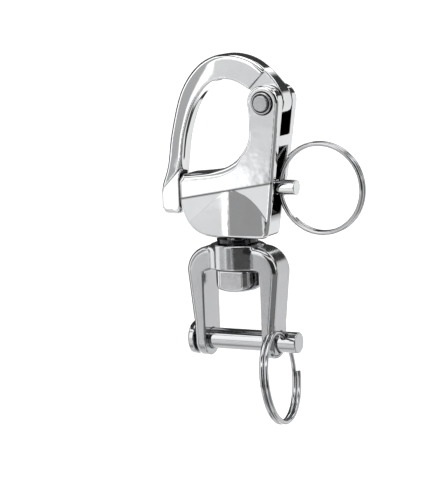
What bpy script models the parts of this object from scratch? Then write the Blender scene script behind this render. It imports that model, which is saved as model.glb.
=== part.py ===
"""Swivel snap shackle in polished stainless steel, 87 mm from bail to jaw.

Frame: +X towards the pull ring, -Y towards the front, +Z up. The origin is the seat that the
line rests on, at the inside of the bail's crown, on the swivel axis. Sizes below are millimetres.
"""

from math import atan2, cos, pi, radians, sin

import bmesh
import bpy
from mathutils import Matrix, Vector

MM = 0.001

# Heights of the main axes below the crown's seat.
PLUNGER_Z = -30.6
PIVOT_X = 12.4
PIVOT_Z = PLUNGER_Z + 24.3

# Body: a column with two ears on the right, a block under the window.
BODY_LEFT = -15.6
BODY_RIGHT = 14.2
BODY_BOTTOM = PLUNGER_Z - 14.5
BODY_CREASE_LEFT_Z = PLUNGER_Z - 3.2
BODY_CREASE_RIGHT_Z = PLUNGER_Z + 2.0
BODY_HALF = 5.3
BODY_WIDEN_UP = 0.055
BODY_TAPER_DOWN = 0.11
SADDLE_Z = PLUNGER_Z + 4.4
COLUMN_LEFT = 7.9
EAR_RADIUS = 4.9
SLOT_HALF = 3.0
SLOT_BOTTOM = PLUNGER_Z + 15.0
GROOVE_FLOOR = 10.2
GROOVE_HALF_Y = 2.9
GROOVE_RADIUS = 15.8
PROW_HALF = 5.25
PROW_SLOPE = 0.07
PROW_REACH = 16.0
PROW_INSET = 0.965
BODY_ROUNDING = 3.0
BODY_EDGE_SHARE = 0.3

# Bail: a crescent that ends in a tongue between the ears and in a foot beside the body.
BAIL_HALF = 3.4
BAIL_GAP = 0.7
TONGUE_HALF = 2.7
TONGUE_RADIUS = 5.0
FOOT_LEFT = -23.1
FOOT_BOTTOM = PLUNGER_Z - 8.4
STEP_DISTANCE = 6.6
STEP_ANGLE = radians(135)
BAIL_ROUNDING = 1.2

# Pins and bores.
PIVOT_PIN_RADIUS = 2.1
PIVOT_HEAD_RADIUS = 3.1
PIVOT_HEAD_PROUD = 1.0
RUNNING_GAP = 0.1
FACE_GAP = 0.3
NOSE_RADIUS = 2.1
STEM_RADIUS = 2.2
STEM_END = 19.3
COLLAR_RADIUS = 2.9
COLLAR_LEFT = 0.9
COLLAR_WIDTH = 1.4
TRAVEL = 2.6
NOSE_TIP = BODY_LEFT + 0.2
FOOT_HOLE_DEPTH = 3.2
SPRING_BORE_RADIUS = 3.3
BUSH_WIDTH = 2.6
PLUNGER_HOLE_X = 14.2
SPRING_TURNS = 5.5
SPRING_RADIUS = 2.72
SPRING_WIRE = 0.5

# Swivel: washer, stud and the pin that locks the stud in the body.
WASHER_RADIUS = 5.9
WASHER_TOP = BODY_BOTTOM - FACE_GAP
JAW_TOP = BODY_BOTTOM - 1.9
STUD_RADIUS = 3.5
STUD_TOP = PLUNGER_Z - 5.2
STUD_HEAD_RADIUS = 6.5
STUD_HEAD_DEPTH = 7.0
LOCK_PIN_RADIUS = 0.9
LOCK_PIN_Z = PLUNGER_Z - 9.6

# Jaw and its clevis pin.
JAW_UNDERSIDE = PLUNGER_Z - 23.6
JAW_INNER = 9.0
JAW_OUTER = 12.8
JAW_SHOULDER = 14.5
JAW_HALF_DEPTH = 5.0
JAW_BOSS_RADIUS = 7.5
JAW_ROUNDING = 3.0
JAW_SHOULDER_RADIUS = 7.4
JAW_INSIDE_RADIUS = 1.6
JAW_INSIDE_SHARE = 0.12
CLEVIS_Z = PLUNGER_Z - 44.6
CLEVIS_RADIUS = 3.0
CLEVIS_HEAD_RADIUS = 4.8
CLEVIS_HEAD_WIDTH = 1.9
CLEVIS_END = 18.6
CLEVIS_HOLE_X = 14.7

# Split rings: two turns of wire side by side, single for a quarter turn at the cross hole.
RING_MEAN_RADIUS = 12.6
RING_WIRE = 1.3
RING_PITCH = 1.36
RING_TURNS = 1.75
RING_HOLE_RADIUS = 1.15
CLEVIS_RING_DROP = 8.4
CLEVIS_RING_REACH = (RING_MEAN_RADIUS ** 2 - CLEVIS_RING_DROP ** 2) ** 0.5
CLEVIS_RING_LEAN = radians(9)

STEEL = (0.78, 0.79, 0.80, 1.0)
SHADED_STEEL = (0.62, 0.63, 0.65, 1.0)
SPRING_STEEL = (0.55, 0.56, 0.58, 1.0)


def clear_scene():
    for obj in list(bpy.data.objects):
        bpy.data.objects.remove(obj, do_unlink=True)


def steel(name, color, roughness):
    """One polished steel material for one part."""
    material = bpy.data.materials.new(name + "_steel")
    material.use_nodes = True
    shader = material.node_tree.nodes["Principled BSDF"]
    shader.inputs["Base Color"].default_value = color
    shader.inputs["Metallic"].default_value = 1.0
    shader.inputs["Roughness"].default_value = roughness
    return material


def set_origin(obj, point):
    """Put a moving part's origin on its joint's axis and leave its shape where it is."""
    place = Vector(point) * MM
    obj.data.transform(Matrix.Translation(-place))
    obj.location = place


def make_object(name, mesh, smooth_angle=40.0):
    obj = bpy.data.objects.new(name, mesh)
    bpy.context.scene.collection.objects.link(obj)
    mesh.shade_smooth()
    mesh.set_sharp_from_angle(angle=radians(smooth_angle))
    return obj


def mesh_from(bm, name):
    bmesh.ops.recalc_face_normals(bm, faces=bm.faces)
    mesh = bpy.data.meshes.new(name)
    bm.to_mesh(mesh)
    bm.free()
    return mesh


def arc(center, radius, start, end, steps):
    """Points on an arc in the XZ plane, angles in degrees from +X towards +Z."""
    points = []
    for index in range(steps + 1):
        angle = radians(start + (end - start) * index / steps)
        points.append((center[0] + radius * cos(angle), center[1] + radius * sin(angle)))
    return points


def curve_through(points, steps):
    """Catmull-Rom curve through the inner points of a list; the outer two steer its ends."""
    result = []
    for index in range(1, len(points) - 2):
        p0, p1, p2, p3 = (Vector(p) for p in points[index - 1:index + 3])
        for step in range(steps):
            t = step / steps
            point = 0.5 * (2 * p1 + (p2 - p0) * t + (2 * p0 - 5 * p1 + 4 * p2 - p3) * t * t
                           + (3 * p1 - p0 - 3 * p2 + p3) * t * t * t)
            result.append((point.x, point.y))
    result.append(tuple(points[-2]))
    return result


def prism(name, outline, half, weights=None):
    """An outline in XZ made solid between -half(x, z) and +half(x, z) along Y.

    weights(x, z) gives each rim edge's bevel weight from its middle.
    """
    bm = bmesh.new()
    layer = bm.edges.layers.float.new("bevel_weight_edge")
    rows = []
    for side in (-1, 1):
        rows.append([bm.verts.new((x * MM, side * half(x, z) * MM, z * MM)) for x, z in outline])
    for row in rows:
        bm.faces.new(row)
    count = len(outline)
    for index in range(count):
        following = (index + 1) % count
        bm.faces.new((rows[0][index], rows[0][following], rows[1][following], rows[1][index]))
        if weights is None:
            continue
        middle_x = (outline[index][0] + outline[following][0]) / 2
        middle_z = (outline[index][1] + outline[following][1]) / 2
        for row in rows:
            edge = bm.edges.get((row[index], row[following]))
            edge[layer] = weights(middle_x, middle_z)
    return make_object(name, mesh_from(bm, name))


def cylinder(name, axis, radius, start, end, offset=(0.0, 0.0), segments=32):
    """A round bar along X, Y or Z from start to end; offset is its place on the other two axes."""
    bm = bmesh.new()
    bmesh.ops.create_cone(bm, cap_ends=True, segments=segments, radius1=radius * MM,
                          radius2=radius * MM, depth=abs(end - start) * MM)
    middle = (start + end) / 2
    if axis == "X":
        turn = Matrix.Rotation(pi / 2, 4, "Y")
        place = (middle, offset[0], offset[1])
    elif axis == "Y":
        turn = Matrix.Rotation(pi / 2, 4, "X")
        place = (offset[0], middle, offset[1])
    else:
        turn = Matrix.Identity(4)
        place = (offset[0], offset[1], middle)
    bmesh.ops.transform(bm, matrix=Matrix.Translation(Vector(place) * MM) @ turn, verts=bm.verts)
    return make_object(name, mesh_from(bm, name))


def turned(name, axis_z, profile, segments=32, axis="X", axis_x=0.0):
    """A solid of revolution from (position along the axis, radius) pairs, closed at both ends."""
    bm = bmesh.new()
    rings = []
    for along, radius in profile:
        ring = []
        for index in range(segments):
            angle = 2 * pi * index / segments
            across, up = radius * cos(angle), radius * sin(angle)
            if axis == "X":
                place = (along, across, axis_z + up)
            elif axis == "Y":
                place = (axis_x + across, along, axis_z + up)
            else:
                place = (across, up, along)
            ring.append(bm.verts.new(Vector(place) * MM))
        rings.append(ring)
    for first, second in zip(rings, rings[1:]):
        for index in range(segments):
            following = (index + 1) % segments
            bm.faces.new((first[index], first[following], second[following], second[index]))
    bm.faces.new(rings[0])
    bm.faces.new(rings[-1])
    return make_object(name, mesh_from(bm, name))


def box(name, low, high):
    bm = bmesh.new()
    bmesh.ops.create_cube(bm, size=1.0)
    for vert in bm.verts:
        for axis in range(3):
            vert.co[axis] = (low[axis] if vert.co[axis] < 0 else high[axis]) * MM
    return make_object(name, mesh_from(bm, name))


def combine(obj, tool, operation):
    """Boolean with a hidden tool that stays in the scene as a guide."""
    modifier = obj.modifiers.new(operation.lower() + "_" + tool.name, "BOOLEAN")
    modifier.operation = operation
    modifier.object = tool
    tool.hide_render = True
    tool.display_type = "WIRE"


def cut(obj, *tools):
    for tool in tools:
        combine(obj, tool, "DIFFERENCE")


def round_edges(obj, width, segments):
    modifier = obj.modifiers.new("rounded_edges", "BEVEL")
    modifier.width = width * MM
    modifier.segments = segments
    modifier.limit_method = "WEIGHT"


def wire_coil(name, center, radius, wire, pitch, turns, axis, toward, sides):
    """A coil of round wire about an axis through center; its middle lies towards a direction."""
    steps = int(40 * turns)
    basis = Vector(axis).to_track_quat("Z", "Y").to_matrix()
    middle = basis.transposed() @ Vector(toward)
    phase = atan2(middle.y, middle.x)
    curve = bpy.data.curves.new(name, "CURVE")
    curve.dimensions = "3D"
    curve.bevel_depth = wire / 2 * MM
    curve.bevel_resolution = sides
    curve.use_fill_caps = True
    spline = curve.splines.new("POLY")
    spline.points.add(steps)
    for index in range(steps + 1):
        part = index / steps - 0.5
        angle = phase + 2 * pi * turns * part
        local = Vector((radius * cos(angle), radius * sin(angle), pitch * turns * part))
        place = (Vector(center) + basis @ local) * MM
        spline.points[index].co = (place.x, place.y, place.z, 1.0)
    obj = bpy.data.objects.new(name, curve)
    bpy.context.scene.collection.objects.link(obj)
    return obj


def crease_z(x):
    """Height of the crease across the body's front and back, which rises to the right."""
    share = (x - BODY_LEFT) / (BODY_RIGHT - BODY_LEFT)
    return BODY_CREASE_LEFT_Z + (BODY_CREASE_RIGHT_Z - BODY_CREASE_LEFT_Z) * share


def body_half(x, z):
    """The body widens evenly up to its ears and thins faster below the crease."""
    rise = z - crease_z(x)
    return BODY_HALF + rise * (BODY_WIDEN_UP if rise > 0 else BODY_TAPER_DOWN)


def body_outline():
    """Upper and lower halves of the body's outline, which meet on the crease."""
    pivot = (PIVOT_X, PIVOT_Z)
    window = curve_through([(8.4, PIVOT_Z + 8), (COLUMN_LEFT - 0.1, PIVOT_Z - 3),
                            (7.3, PLUNGER_Z + 14.0), (4.6, PLUNGER_Z + 9.6),
                            (0.4, PLUNGER_Z + 6.4), (-5.0, PLUNGER_Z + 4.7),
                            (-14.4, SADDLE_Z - 0.7), (-22.0, SADDLE_Z - 1.2)], 4)
    upper = arc(pivot, EAR_RADIUS, -10, 196, 14)
    upper += window
    upper += [(BODY_LEFT, SADDLE_Z - 2.2), (BODY_LEFT, BODY_CREASE_LEFT_Z)]
    upper += [(BODY_RIGHT, BODY_CREASE_RIGHT_Z), (BODY_RIGHT + 1.3, PLUNGER_Z + 11.0)]
    lower = [(BODY_RIGHT, BODY_CREASE_RIGHT_Z), (BODY_LEFT, BODY_CREASE_LEFT_Z)]
    lower += curve_through([(BODY_LEFT + 0.4, PLUNGER_Z + 1), (BODY_LEFT + 0.2, PLUNGER_Z - 5.6),
                            (-13.7, PLUNGER_Z - 10.6), (-9.6, PLUNGER_Z - 13.6),
                            (-3.6, BODY_BOTTOM), (4.0, BODY_BOTTOM - 0.6)], 3)
    lower += [(9.4, BODY_BOTTOM)]
    lower += arc((9.6, BODY_BOTTOM + 2.2), 2.2, -70, -10, 3)
    return upper, lower


def body_mesh_object():
    """Two planar faces meet on the crease, front and back; a rim joins front to back."""
    upper, lower = body_outline()
    bm = bmesh.new()
    layer = bm.edges.layers.float.new("bevel_weight_edge")
    places = {}

    def corner(point, side):
        key = (round(point[0], 4), round(point[1], 4), side)
        if key not in places:
            x, z = point
            places[key] = bm.verts.new((x * MM, side * body_half(x, z) * MM, z * MM))
        return places[key]

    for side in (-1, 1):
        bm.faces.new([corner(point, side) for point in upper])
        bm.faces.new([corner(point, side) for point in lower])
    crease = {(BODY_LEFT, BODY_CREASE_LEFT_Z), (BODY_RIGHT, BODY_CREASE_RIGHT_Z)}
    for outline in (upper, lower):
        for start, end in zip(outline, outline[1:] + outline[:1]):
            if start in crease and end in crease:
                continue
            bm.faces.new((corner(start, -1), corner(end, -1), corner(end, 1), corner(start, 1)))
            middle = ((start[0] + end[0]) / 2, (start[1] + end[1]) / 2)
            saddle = middle[0] < 4.5 and PLUNGER_Z + 2.0 < middle[1] < PLUNGER_Z + 12.0
            for side in (-1, 1):
                edge = bm.edges.get((corner(start, side), corner(end, side)))
                edge[layer] = 1.0 if saddle else BODY_EDGE_SHARE
    return make_object("body", mesh_from(bm, "body"))


def swivel_prow():
    """A shallow ridge down the front and back of the block, which holds the swivel's bore."""
    top = crease_z(0.0) - 1.2
    flank = PROW_HALF - PROW_SLOPE * PROW_REACH
    half = [(-PROW_REACH, -flank), (-1.2, -PROW_HALF + 0.06), (0.0, -PROW_HALF),
            (1.2, -PROW_HALF + 0.06), (PROW_REACH, -flank)]
    section = half + [(x, -y) for x, y in reversed(half)]
    bm = bmesh.new()
    rows = [[bm.verts.new((x * MM, y * MM, z * MM)) for x, y in section] for z in (-60.0, 0.0)]
    bm.faces.new(rows[0])
    bm.faces.new(rows[1])
    for index in range(len(section)):
        following = (index + 1) % len(section)
        bm.faces.new((rows[0][index], rows[0][following], rows[1][following], rows[1][index]))
    prow = make_object("swivel_prow_guide", mesh_from(bm, "swivel_prow_guide"))
    outline = [(x * PROW_INSET, top + (z - top) * PROW_INSET) for x, z in body_outline()[1][2:]]
    outline += [(BODY_RIGHT * PROW_INSET, crease_z(BODY_RIGHT) - 1.2), (0.0, top),
                (BODY_LEFT * PROW_INSET, crease_z(BODY_LEFT) - 1.3)]
    limit = prism("swivel_prow_limit", outline, lambda x, z: 9.0)
    combine(prow, limit, "INTERSECT")
    return prow


def build_body():
    body = body_mesh_object()
    round_edges(body, BODY_ROUNDING, 4)
    combine(body, swivel_prow(), "UNION")
    ear_slot = box("ear_slot_cutter", (-2.0, -SLOT_HALF, SLOT_BOTTOM), (22.0, SLOT_HALF, 8.0))
    groove = cylinder("ring_groove_cutter", "Y", GROOVE_RADIUS, -GROOVE_HALF_Y, GROOVE_HALF_Y,
                      (GROOVE_FLOOR + GROOVE_RADIUS, PLUNGER_Z), 72)
    nose_bore = cylinder("nose_bore_cutter", "X", NOSE_RADIUS + RUNNING_GAP, -20.0, 0.0,
                         (0.0, PLUNGER_Z))
    spring_bore = cylinder("spring_bore_cutter", "X", SPRING_BORE_RADIUS,
                           COLLAR_LEFT - TRAVEL - 0.3, 20.0, (0.0, PLUNGER_Z))
    pivot_bore = cylinder("pivot_bore_cutter", "Y", PIVOT_PIN_RADIUS + RUNNING_GAP, -10.0, 10.0,
                          (PIVOT_X, PIVOT_Z))
    stud_bore = cylinder("stud_bore_cutter", "Z", STUD_RADIUS + RUNNING_GAP, -60.0,
                         STUD_TOP + FACE_GAP)
    lock_bore = cylinder("lock_bore_cutter", "Y", LOCK_PIN_RADIUS + RUNNING_GAP, 0.0, 12.0,
                         (STUD_RADIUS, LOCK_PIN_Z), 16)
    cut(body, ear_slot, groove, nose_bore, spring_bore, pivot_bore, stud_bore, lock_bore)


def bail_outline():
    """The crescent's outer edge from the foot over the crown, then its inner edge back."""
    plunger = PLUNGER_Z
    outer = curve_through([(-21.8, plunger - 9.0), (FOOT_LEFT, plunger - 4.6),
                           (-22.9, plunger - 0.4), (-20.8, plunger + 6.0),
                           (-19.2, plunger + 15.6), (-15.5, plunger + 27.6),
                           (-9.4, plunger + 34.9), (-1.2, plunger + 37.9),
                           (7.2, plunger + 36.4), (14.0, plunger + 31.0),
                           (17.2, PIVOT_Z + 1.4), (17.3, PIVOT_Z - 4.0)], 3)
    eye = arc((PIVOT_X, PIVOT_Z), TONGUE_RADIUS, 4, -150, 10)
    inner = curve_through([(9.0, PIVOT_Z - 9.0), (7.7, PIVOT_Z + 1.4), (5.8, plunger + 28.4),
                           (0.6, plunger + 30.6), (-5.4, plunger + 29.8),
                           (-11.2, plunger + 24.4), (-14.6, plunger + 16.0),
                           (-15.9, plunger + 8.4), (-16.0, plunger + 4.6),
                           (BODY_LEFT - BAIL_GAP, plunger + 1.8),
                           (BODY_LEFT - BAIL_GAP, plunger - 3.0)], 3)
    foot = [(BODY_LEFT - BAIL_GAP, FOOT_BOTTOM + 0.8), (BODY_LEFT - BAIL_GAP - 0.7, FOOT_BOTTOM)]
    foot += arc((-19.8, FOOT_BOTTOM + 2.8), 2.8, -92, -170, 4)
    return outer + eye + inner + foot


def build_bail():
    bail = prism("bail", bail_outline(), lambda x, z: BAIL_HALF, lambda x, z: 1.0)
    round_edges(bail, BAIL_ROUNDING, 3)
    normal = (cos(STEP_ANGLE), sin(STEP_ANGLE))
    for side, label in ((-1, "front"), (1, "back")):
        low = (-24.0, min(side * TONGUE_HALF, side * 9.0), -24.0)
        high = (24.0, max(side * TONGUE_HALF, side * 9.0), 0.0)
        relief = box("tongue_relief_" + label, low, high)
        relief.rotation_euler = (0.0, pi / 2 - STEP_ANGLE, 0.0)
        relief.location = ((PIVOT_X + STEP_DISTANCE * normal[0]) * MM, 0.0,
                           (PIVOT_Z + STEP_DISTANCE * normal[1]) * MM)
        cut(bail, relief)
    cut(bail, cylinder("bail_eye_cutter", "Y", PIVOT_PIN_RADIUS + RUNNING_GAP, -8.0, 8.0,
                       (PIVOT_X, PIVOT_Z)))
    cut(bail, cylinder("foot_hole_cutter", "X", NOSE_RADIUS + 0.2,
                       BODY_LEFT - BAIL_GAP - FOOT_HOLE_DEPTH, BODY_LEFT + 1.0, (0.0, PLUNGER_Z)))
    set_origin(bail, (PIVOT_X, 0.0, PIVOT_Z))


def build_bail_pivot_pin():
    """A pin riveted over at both ears, its ends standing proud of them."""
    ear = body_half(PIVOT_X - PIVOT_HEAD_RADIUS, PIVOT_Z + PIVOT_HEAD_RADIUS) + 0.1
    end = ear + PIVOT_HEAD_PROUD
    profile = [(-end, 1.9), (-end + 0.2, 2.15), (-ear - 0.35, 2.35), (-ear - 0.1, PIVOT_HEAD_RADIUS),
               (-ear, PIVOT_HEAD_RADIUS), (-ear, PIVOT_PIN_RADIUS)]
    mirrored = [(-along, radius) for along, radius in reversed(profile)]
    return turned("bail_pivot_pin", PIVOT_Z, profile + mirrored, 32, "Y", PIVOT_X)


def build_plunger():
    """Nose, collar and stem, with a cross hole for the pull ring. Stored drawn back."""
    collar_right = COLLAR_LEFT + COLLAR_WIDTH
    profile = [(NOSE_TIP, NOSE_RADIUS - 0.5), (NOSE_TIP + 0.5, NOSE_RADIUS),
               (COLLAR_LEFT, NOSE_RADIUS), (COLLAR_LEFT, COLLAR_RADIUS),
               (collar_right, COLLAR_RADIUS), (collar_right, STEM_RADIUS),
               (STEM_END - 0.3, STEM_RADIUS), (STEM_END, STEM_RADIUS - 0.3)]
    plunger = turned("plunger", PLUNGER_Z, profile)
    cut(plunger, cylinder("plunger_hole_cutter", "Z", RING_HOLE_RADIUS, PLUNGER_Z - 5.0,
                          PLUNGER_Z + 5.0, (PLUNGER_HOLE_X, 0.0), 24))
    set_origin(plunger, (0.0, 0.0, PLUNGER_Z))


def build_plunger_spring():
    left = COLLAR_LEFT + COLLAR_WIDTH + SPRING_WIRE / 2 + 0.1
    right = GROOVE_FLOOR - BUSH_WIDTH - SPRING_WIRE / 2 - 0.2
    middle = ((left + right) / 2, 0.0, PLUNGER_Z)
    pitch = (right - left) / SPRING_TURNS
    wire_coil("plunger_spring", middle, SPRING_RADIUS, SPRING_WIRE, pitch, SPRING_TURNS,
              (1, 0, 0), (0, 0, 1), 1)


def build_plunger_bush():
    """A plain ring pressed into the bottom of the groove, which the stem runs in."""
    right = GROOVE_FLOOR - 0.1
    bush = cylinder("plunger_bush", "X", SPRING_BORE_RADIUS - 0.1, right - BUSH_WIDTH, right,
                    (0.0, PLUNGER_Z))
    cut(bush, cylinder("bush_bore_cutter", "X", STEM_RADIUS + RUNNING_GAP, 0.0, 20.0,
                       (0.0, PLUNGER_Z)))
    return bush


def build_rings():
    """The pull ring lies in the XZ plane; the clevis ring leans outwards off the jaw's leg."""
    pull_center = (PLUNGER_HOLE_X + RING_MEAN_RADIUS, 0.0, PLUNGER_Z)
    pull_ring = wire_coil("plunger_ring", pull_center, RING_MEAN_RADIUS, RING_WIRE, RING_PITCH,
                          RING_TURNS, (0, -1, 0), (-1, 0, 0), 2)
    set_origin(pull_ring, (PLUNGER_HOLE_X, 0.0, PLUNGER_Z))
    outward = Vector((1.0, 0.0, 0.0))
    down = Vector((0.0, -CLEVIS_RING_REACH, -CLEVIS_RING_DROP)).normalized()
    hole_to_center = down * cos(CLEVIS_RING_LEAN) + outward * sin(CLEVIS_RING_LEAN)
    ring_axis = outward * cos(CLEVIS_RING_LEAN) - down * sin(CLEVIS_RING_LEAN)
    clevis_center = Vector((CLEVIS_HOLE_X, 0.0, CLEVIS_Z)) + hole_to_center * RING_MEAN_RADIUS
    clevis_ring = wire_coil("clevis_ring", clevis_center, RING_MEAN_RADIUS, RING_WIRE,
                            RING_PITCH, RING_TURNS, ring_axis, -hole_to_center, 2)
    set_origin(clevis_ring, (CLEVIS_HOLE_X, 0.0, CLEVIS_Z))


def build_swivel():
    washer = cylinder("swivel_washer", "Z", WASHER_RADIUS, JAW_TOP + FACE_GAP, WASHER_TOP,
                      segments=40)
    cut(washer, cylinder("washer_bore_cutter", "Z", STUD_RADIUS + RUNNING_GAP, -80.0, 0.0))
    head_top = JAW_UNDERSIDE - FACE_GAP
    head_bottom = head_top - STUD_HEAD_DEPTH
    profile = [(head_bottom, 2.4), (head_bottom + 0.35, 4.4), (head_bottom + 1.0, 5.9),
               (head_bottom + 1.5, STUD_HEAD_RADIUS), (head_top - 0.3, STUD_HEAD_RADIUS),
               (head_top, STUD_HEAD_RADIUS - 0.3), (head_top, STUD_RADIUS), (STUD_TOP, STUD_RADIUS)]
    stud = turned("swivel_stud", 0.0, profile, 32, "Z")
    for side, label in ((-1, "front"), (1, "back")):
        near, far = side * (STUD_HEAD_RADIUS - 1.3), side * 12.0
        flat = box("head_flat_" + label, (-8.0, min(near, far), head_bottom - 1.0),
                   (8.0, max(near, far), head_top + 0.15))
        cut(stud, flat)
    cut(stud, cylinder("stud_notch_cutter", "Y", LOCK_PIN_RADIUS + RUNNING_GAP, -8.0, 12.0,
                       (STUD_RADIUS, LOCK_PIN_Z), 16))
    cylinder("stud_lock_pin", "Y", LOCK_PIN_RADIUS, 0.2,
             body_half(STUD_RADIUS, LOCK_PIN_Z) - 0.3, (STUD_RADIUS, LOCK_PIN_Z), 16)


def build_jaw():
    """A fork: round shoulders, flat inside, legs rounded outside, round eyes for the pin."""
    top = JAW_TOP - 0.6
    bottom = CLEVIS_Z - JAW_HALF_DEPTH - 1.0
    outline = arc((JAW_SHOULDER - JAW_SHOULDER_RADIUS, top - JAW_SHOULDER_RADIUS),
                  JAW_SHOULDER_RADIUS, 88, 0, 6)
    outline += [(JAW_OUTER, JAW_UNDERSIDE - 11.0), (JAW_OUTER, bottom), (JAW_INNER, bottom)]
    outline += arc((JAW_INNER - JAW_INSIDE_RADIUS, JAW_UNDERSIDE - JAW_INSIDE_RADIUS),
                   JAW_INSIDE_RADIUS, 0, 90, 3)
    outline += [(-x, z) for x, z in reversed(outline)]
    jaw = prism("jaw", outline, lambda x, z: JAW_HALF_DEPTH,
                lambda x, z: 1.0 if abs(x) > JAW_INNER + 1.0 or z > JAW_UNDERSIDE + 2.0
                else JAW_INSIDE_SHARE)
    round_edges(jaw, JAW_ROUNDING, 4)
    side_profile = bmesh.new()
    eye = [(JAW_HALF_DEPTH * cos(radians(a)), CLEVIS_Z + JAW_HALF_DEPTH * sin(radians(a)))
           for a in range(180, 361, 15)]
    rim = [(JAW_HALF_DEPTH + 4, CLEVIS_Z + 6), (JAW_HALF_DEPTH + 4, 0.0),
           (-JAW_HALF_DEPTH - 4, 0.0), (-JAW_HALF_DEPTH - 4, CLEVIS_Z + 6)]
    rim = eye + [(JAW_HALF_DEPTH, CLEVIS_Z + 5)] + rim + [(-JAW_HALF_DEPTH, CLEVIS_Z + 5)]
    ends = [[side_profile.verts.new((x * MM, y * MM, z * MM)) for y, z in rim] for x in (-30, 30)]
    side_profile.faces.new(ends[0])
    side_profile.faces.new(ends[1])
    for index in range(len(rim)):
        following = (index + 1) % len(rim)
        side_profile.faces.new((ends[0][index], ends[0][following], ends[1][following],
                                ends[1][index]))
    guide = make_object("jaw_eye_guide", mesh_from(side_profile, "jaw_eye_guide"))
    combine(jaw, guide, "INTERSECT")
    boss = turned("jaw_boss_guide", 0.0,
                  [(JAW_UNDERSIDE + 1.0, 5.0), (JAW_UNDERSIDE + 2.5, JAW_BOSS_RADIUS - 0.6),
                   (JAW_TOP - 0.4, JAW_BOSS_RADIUS), (JAW_TOP, JAW_BOSS_RADIUS - 0.4)], 48, "Z")
    combine(jaw, boss, "UNION")
    cut(jaw, cylinder("jaw_stud_cutter", "Z", STUD_RADIUS + RUNNING_GAP, -80.0, 0.0),
        cylinder("jaw_pin_cutter", "X", CLEVIS_RADIUS + RUNNING_GAP, -30.0, 30.0, (0.0, CLEVIS_Z)))
    set_origin(jaw, (0.0, 0.0, JAW_TOP))


def build_clevis_pin():
    """Head on the left, cross hole on the right at the slant that its ring lies at."""
    head_right = -JAW_OUTER - FACE_GAP
    head_left = head_right - CLEVIS_HEAD_WIDTH
    profile = [(head_left, CLEVIS_HEAD_RADIUS - 0.5), (head_left + 0.5, CLEVIS_HEAD_RADIUS),
               (head_right - 0.2, CLEVIS_HEAD_RADIUS), (head_right, CLEVIS_HEAD_RADIUS - 0.2),
               (head_right, CLEVIS_RADIUS), (CLEVIS_END - 0.3, CLEVIS_RADIUS),
               (CLEVIS_END, CLEVIS_RADIUS - 0.3)]
    pin = turned("clevis_pin", CLEVIS_Z, profile)
    hole = cylinder("clevis_hole_cutter", "Z", RING_HOLE_RADIUS, -6.0, 6.0, segments=24)
    hole.rotation_euler = (atan2(CLEVIS_RING_DROP, CLEVIS_RING_REACH), 0.0, 0.0)
    hole.location = (CLEVIS_HOLE_X * MM, 0.0, CLEVIS_Z * MM)
    cut(pin, hole)
    set_origin(pin, (0.0, 0.0, CLEVIS_Z))


def finish_materials():
    """Every visible part gets its own steel."""
    for obj in bpy.data.objects:
        if obj.display_type == "WIRE":
            continue
        if obj.name == "plunger_spring":
            color, roughness = SPRING_STEEL, 0.3
        elif obj.name in ("swivel_washer", "plunger_bush", "stud_lock_pin"):
            color, roughness = SHADED_STEEL, 0.25
        else:
            color, roughness = STEEL, 0.15
        obj.data.materials.append(steel(obj.name, color, roughness))


clear_scene()
build_body()
build_bail()
build_bail_pivot_pin()
build_plunger()
build_plunger_spring()
build_plunger_bush()
build_rings()
build_swivel()
build_jaw()
build_clevis_pin()
finish_materials()
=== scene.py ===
"""A swivel snap shackle in polished stainless steel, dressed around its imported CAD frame."""

from math import atan2, cos, pi, radians, sin

import bpy
import numpy as np
from mathutils import Matrix, Vector


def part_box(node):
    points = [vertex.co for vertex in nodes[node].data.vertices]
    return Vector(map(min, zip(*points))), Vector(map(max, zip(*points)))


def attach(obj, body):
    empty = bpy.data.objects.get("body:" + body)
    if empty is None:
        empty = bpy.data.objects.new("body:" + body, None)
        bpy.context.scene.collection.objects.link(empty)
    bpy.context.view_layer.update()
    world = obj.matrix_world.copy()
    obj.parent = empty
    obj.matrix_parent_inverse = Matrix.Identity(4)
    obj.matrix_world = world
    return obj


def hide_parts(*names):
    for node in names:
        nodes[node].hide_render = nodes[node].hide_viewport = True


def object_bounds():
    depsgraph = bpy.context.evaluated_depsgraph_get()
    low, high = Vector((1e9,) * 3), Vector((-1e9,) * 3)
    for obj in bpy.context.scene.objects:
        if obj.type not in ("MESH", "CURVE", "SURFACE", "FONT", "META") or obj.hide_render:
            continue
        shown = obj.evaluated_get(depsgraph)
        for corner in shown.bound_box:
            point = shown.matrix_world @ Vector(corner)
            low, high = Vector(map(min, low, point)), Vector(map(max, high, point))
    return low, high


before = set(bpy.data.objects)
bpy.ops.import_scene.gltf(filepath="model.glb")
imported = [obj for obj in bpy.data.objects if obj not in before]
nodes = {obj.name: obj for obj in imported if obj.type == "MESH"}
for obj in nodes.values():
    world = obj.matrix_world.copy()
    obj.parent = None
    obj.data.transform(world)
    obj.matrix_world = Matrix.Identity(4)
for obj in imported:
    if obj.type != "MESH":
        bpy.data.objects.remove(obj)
cad_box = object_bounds()

MM = 0.001

# Sizes in millimetres. The main ones are the CAD's; roundings and slight slopes are added here.
PLUNGER_Z = -30.6
PIVOT_X, PIVOT_Z = 12.4, PLUNGER_Z + 24.3
BODY_LEFT, BODY_RIGHT, BODY_BOTTOM = -15.6, 14.2, PLUNGER_Z - 14.5
CREASE_LEFT_Z, CREASE_RIGHT_Z = PLUNGER_Z - 3.2, PLUNGER_Z + 2.0
CREASE_SLOPE = (CREASE_RIGHT_Z - CREASE_LEFT_Z) / (BODY_RIGHT - BODY_LEFT)
CREASE_SOFTNESS = 0.03
BODY_HALF, BODY_WIDEN_UP, BODY_TAPER_DOWN = 5.3, 0.055, 0.11
SADDLE_Z = PLUNGER_Z + 4.4
EAR_RADIUS = 4.9
SLOT_HALF, SLOT_BOTTOM = 3.0, PLUNGER_Z + 15.0
GROOVE_X, GROOVE_RADIUS, GROOVE_HALF = 26.0, 15.8, 2.9
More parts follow.
